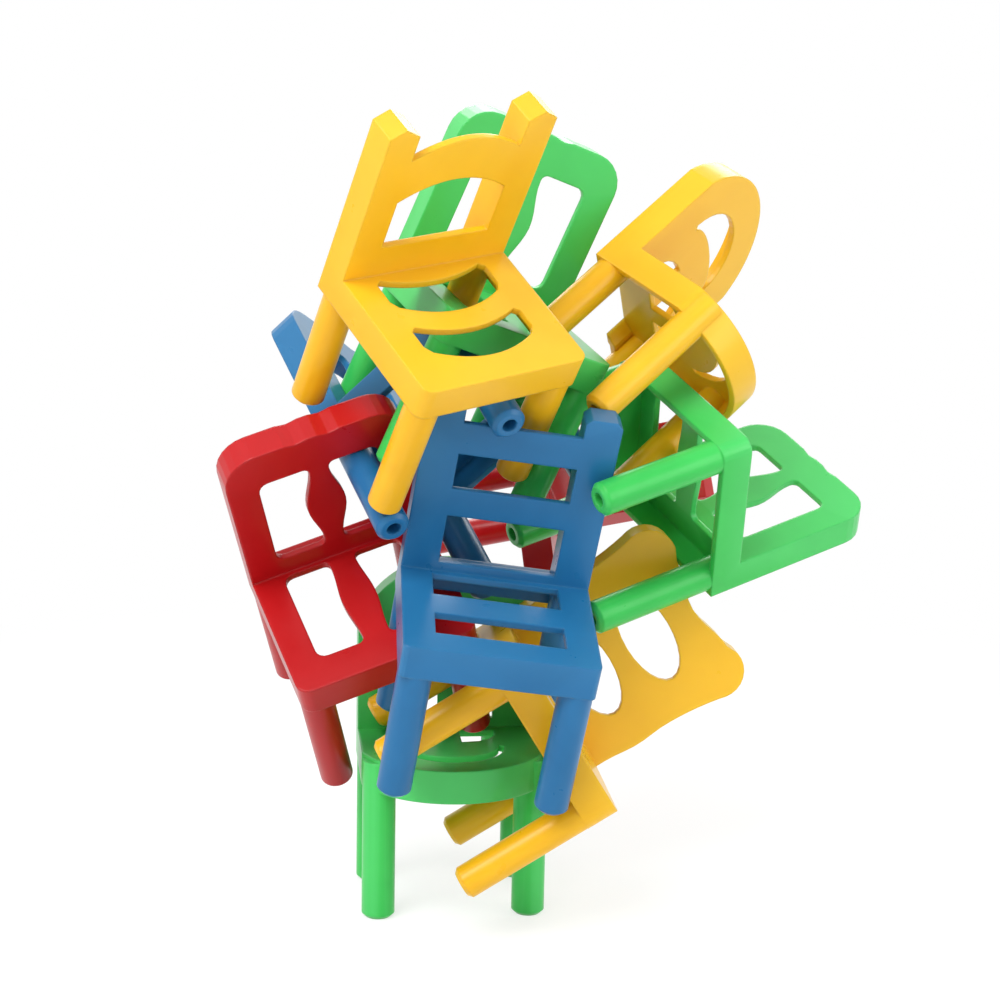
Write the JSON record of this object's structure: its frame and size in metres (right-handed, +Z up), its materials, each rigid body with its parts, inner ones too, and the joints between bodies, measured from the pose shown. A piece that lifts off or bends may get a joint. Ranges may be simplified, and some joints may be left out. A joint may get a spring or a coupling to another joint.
{
  "type": "stacking balance game",
  "caption": "Small moulded toy chairs with slatted, arched, vase, round and lobed backs, balanced on each other in a tall stack on one base chair.",
  "frame": {"origin": "on the floor, under the middle of the whole stack's box", "axes": "+Z up; the base chair faces -Y; +X is to its left-hand side"},
  "size_m": [0.1204, 0.1116, 0.1475],
  "materials": {
    "green_plastic": "satin-gloss injection-moulded plastic",
    "blue_plastic": "satin-gloss injection-moulded plastic",
    "red_plastic": "satin-gloss injection-moulded plastic",
    "yellow_plastic": "satin-gloss injection-moulded plastic"
  },
  "bodies": {
    "root": {"base_green_chair": "green_plastic", "left_red_chair": "red_plastic", "front_blue_chair": "blue_plastic", "lower_yellow_chair": "yellow_plastic", "left_blue_chair": "blue_plastic", "rear_red_chair": "red_plastic", "right_green_chair": "green_plastic", "upper_green_chair": "green_plastic", "top_yellow_chair": "yellow_plastic", "right_yellow_chair": "yellow_plastic"}
  },
  "joints": []
}
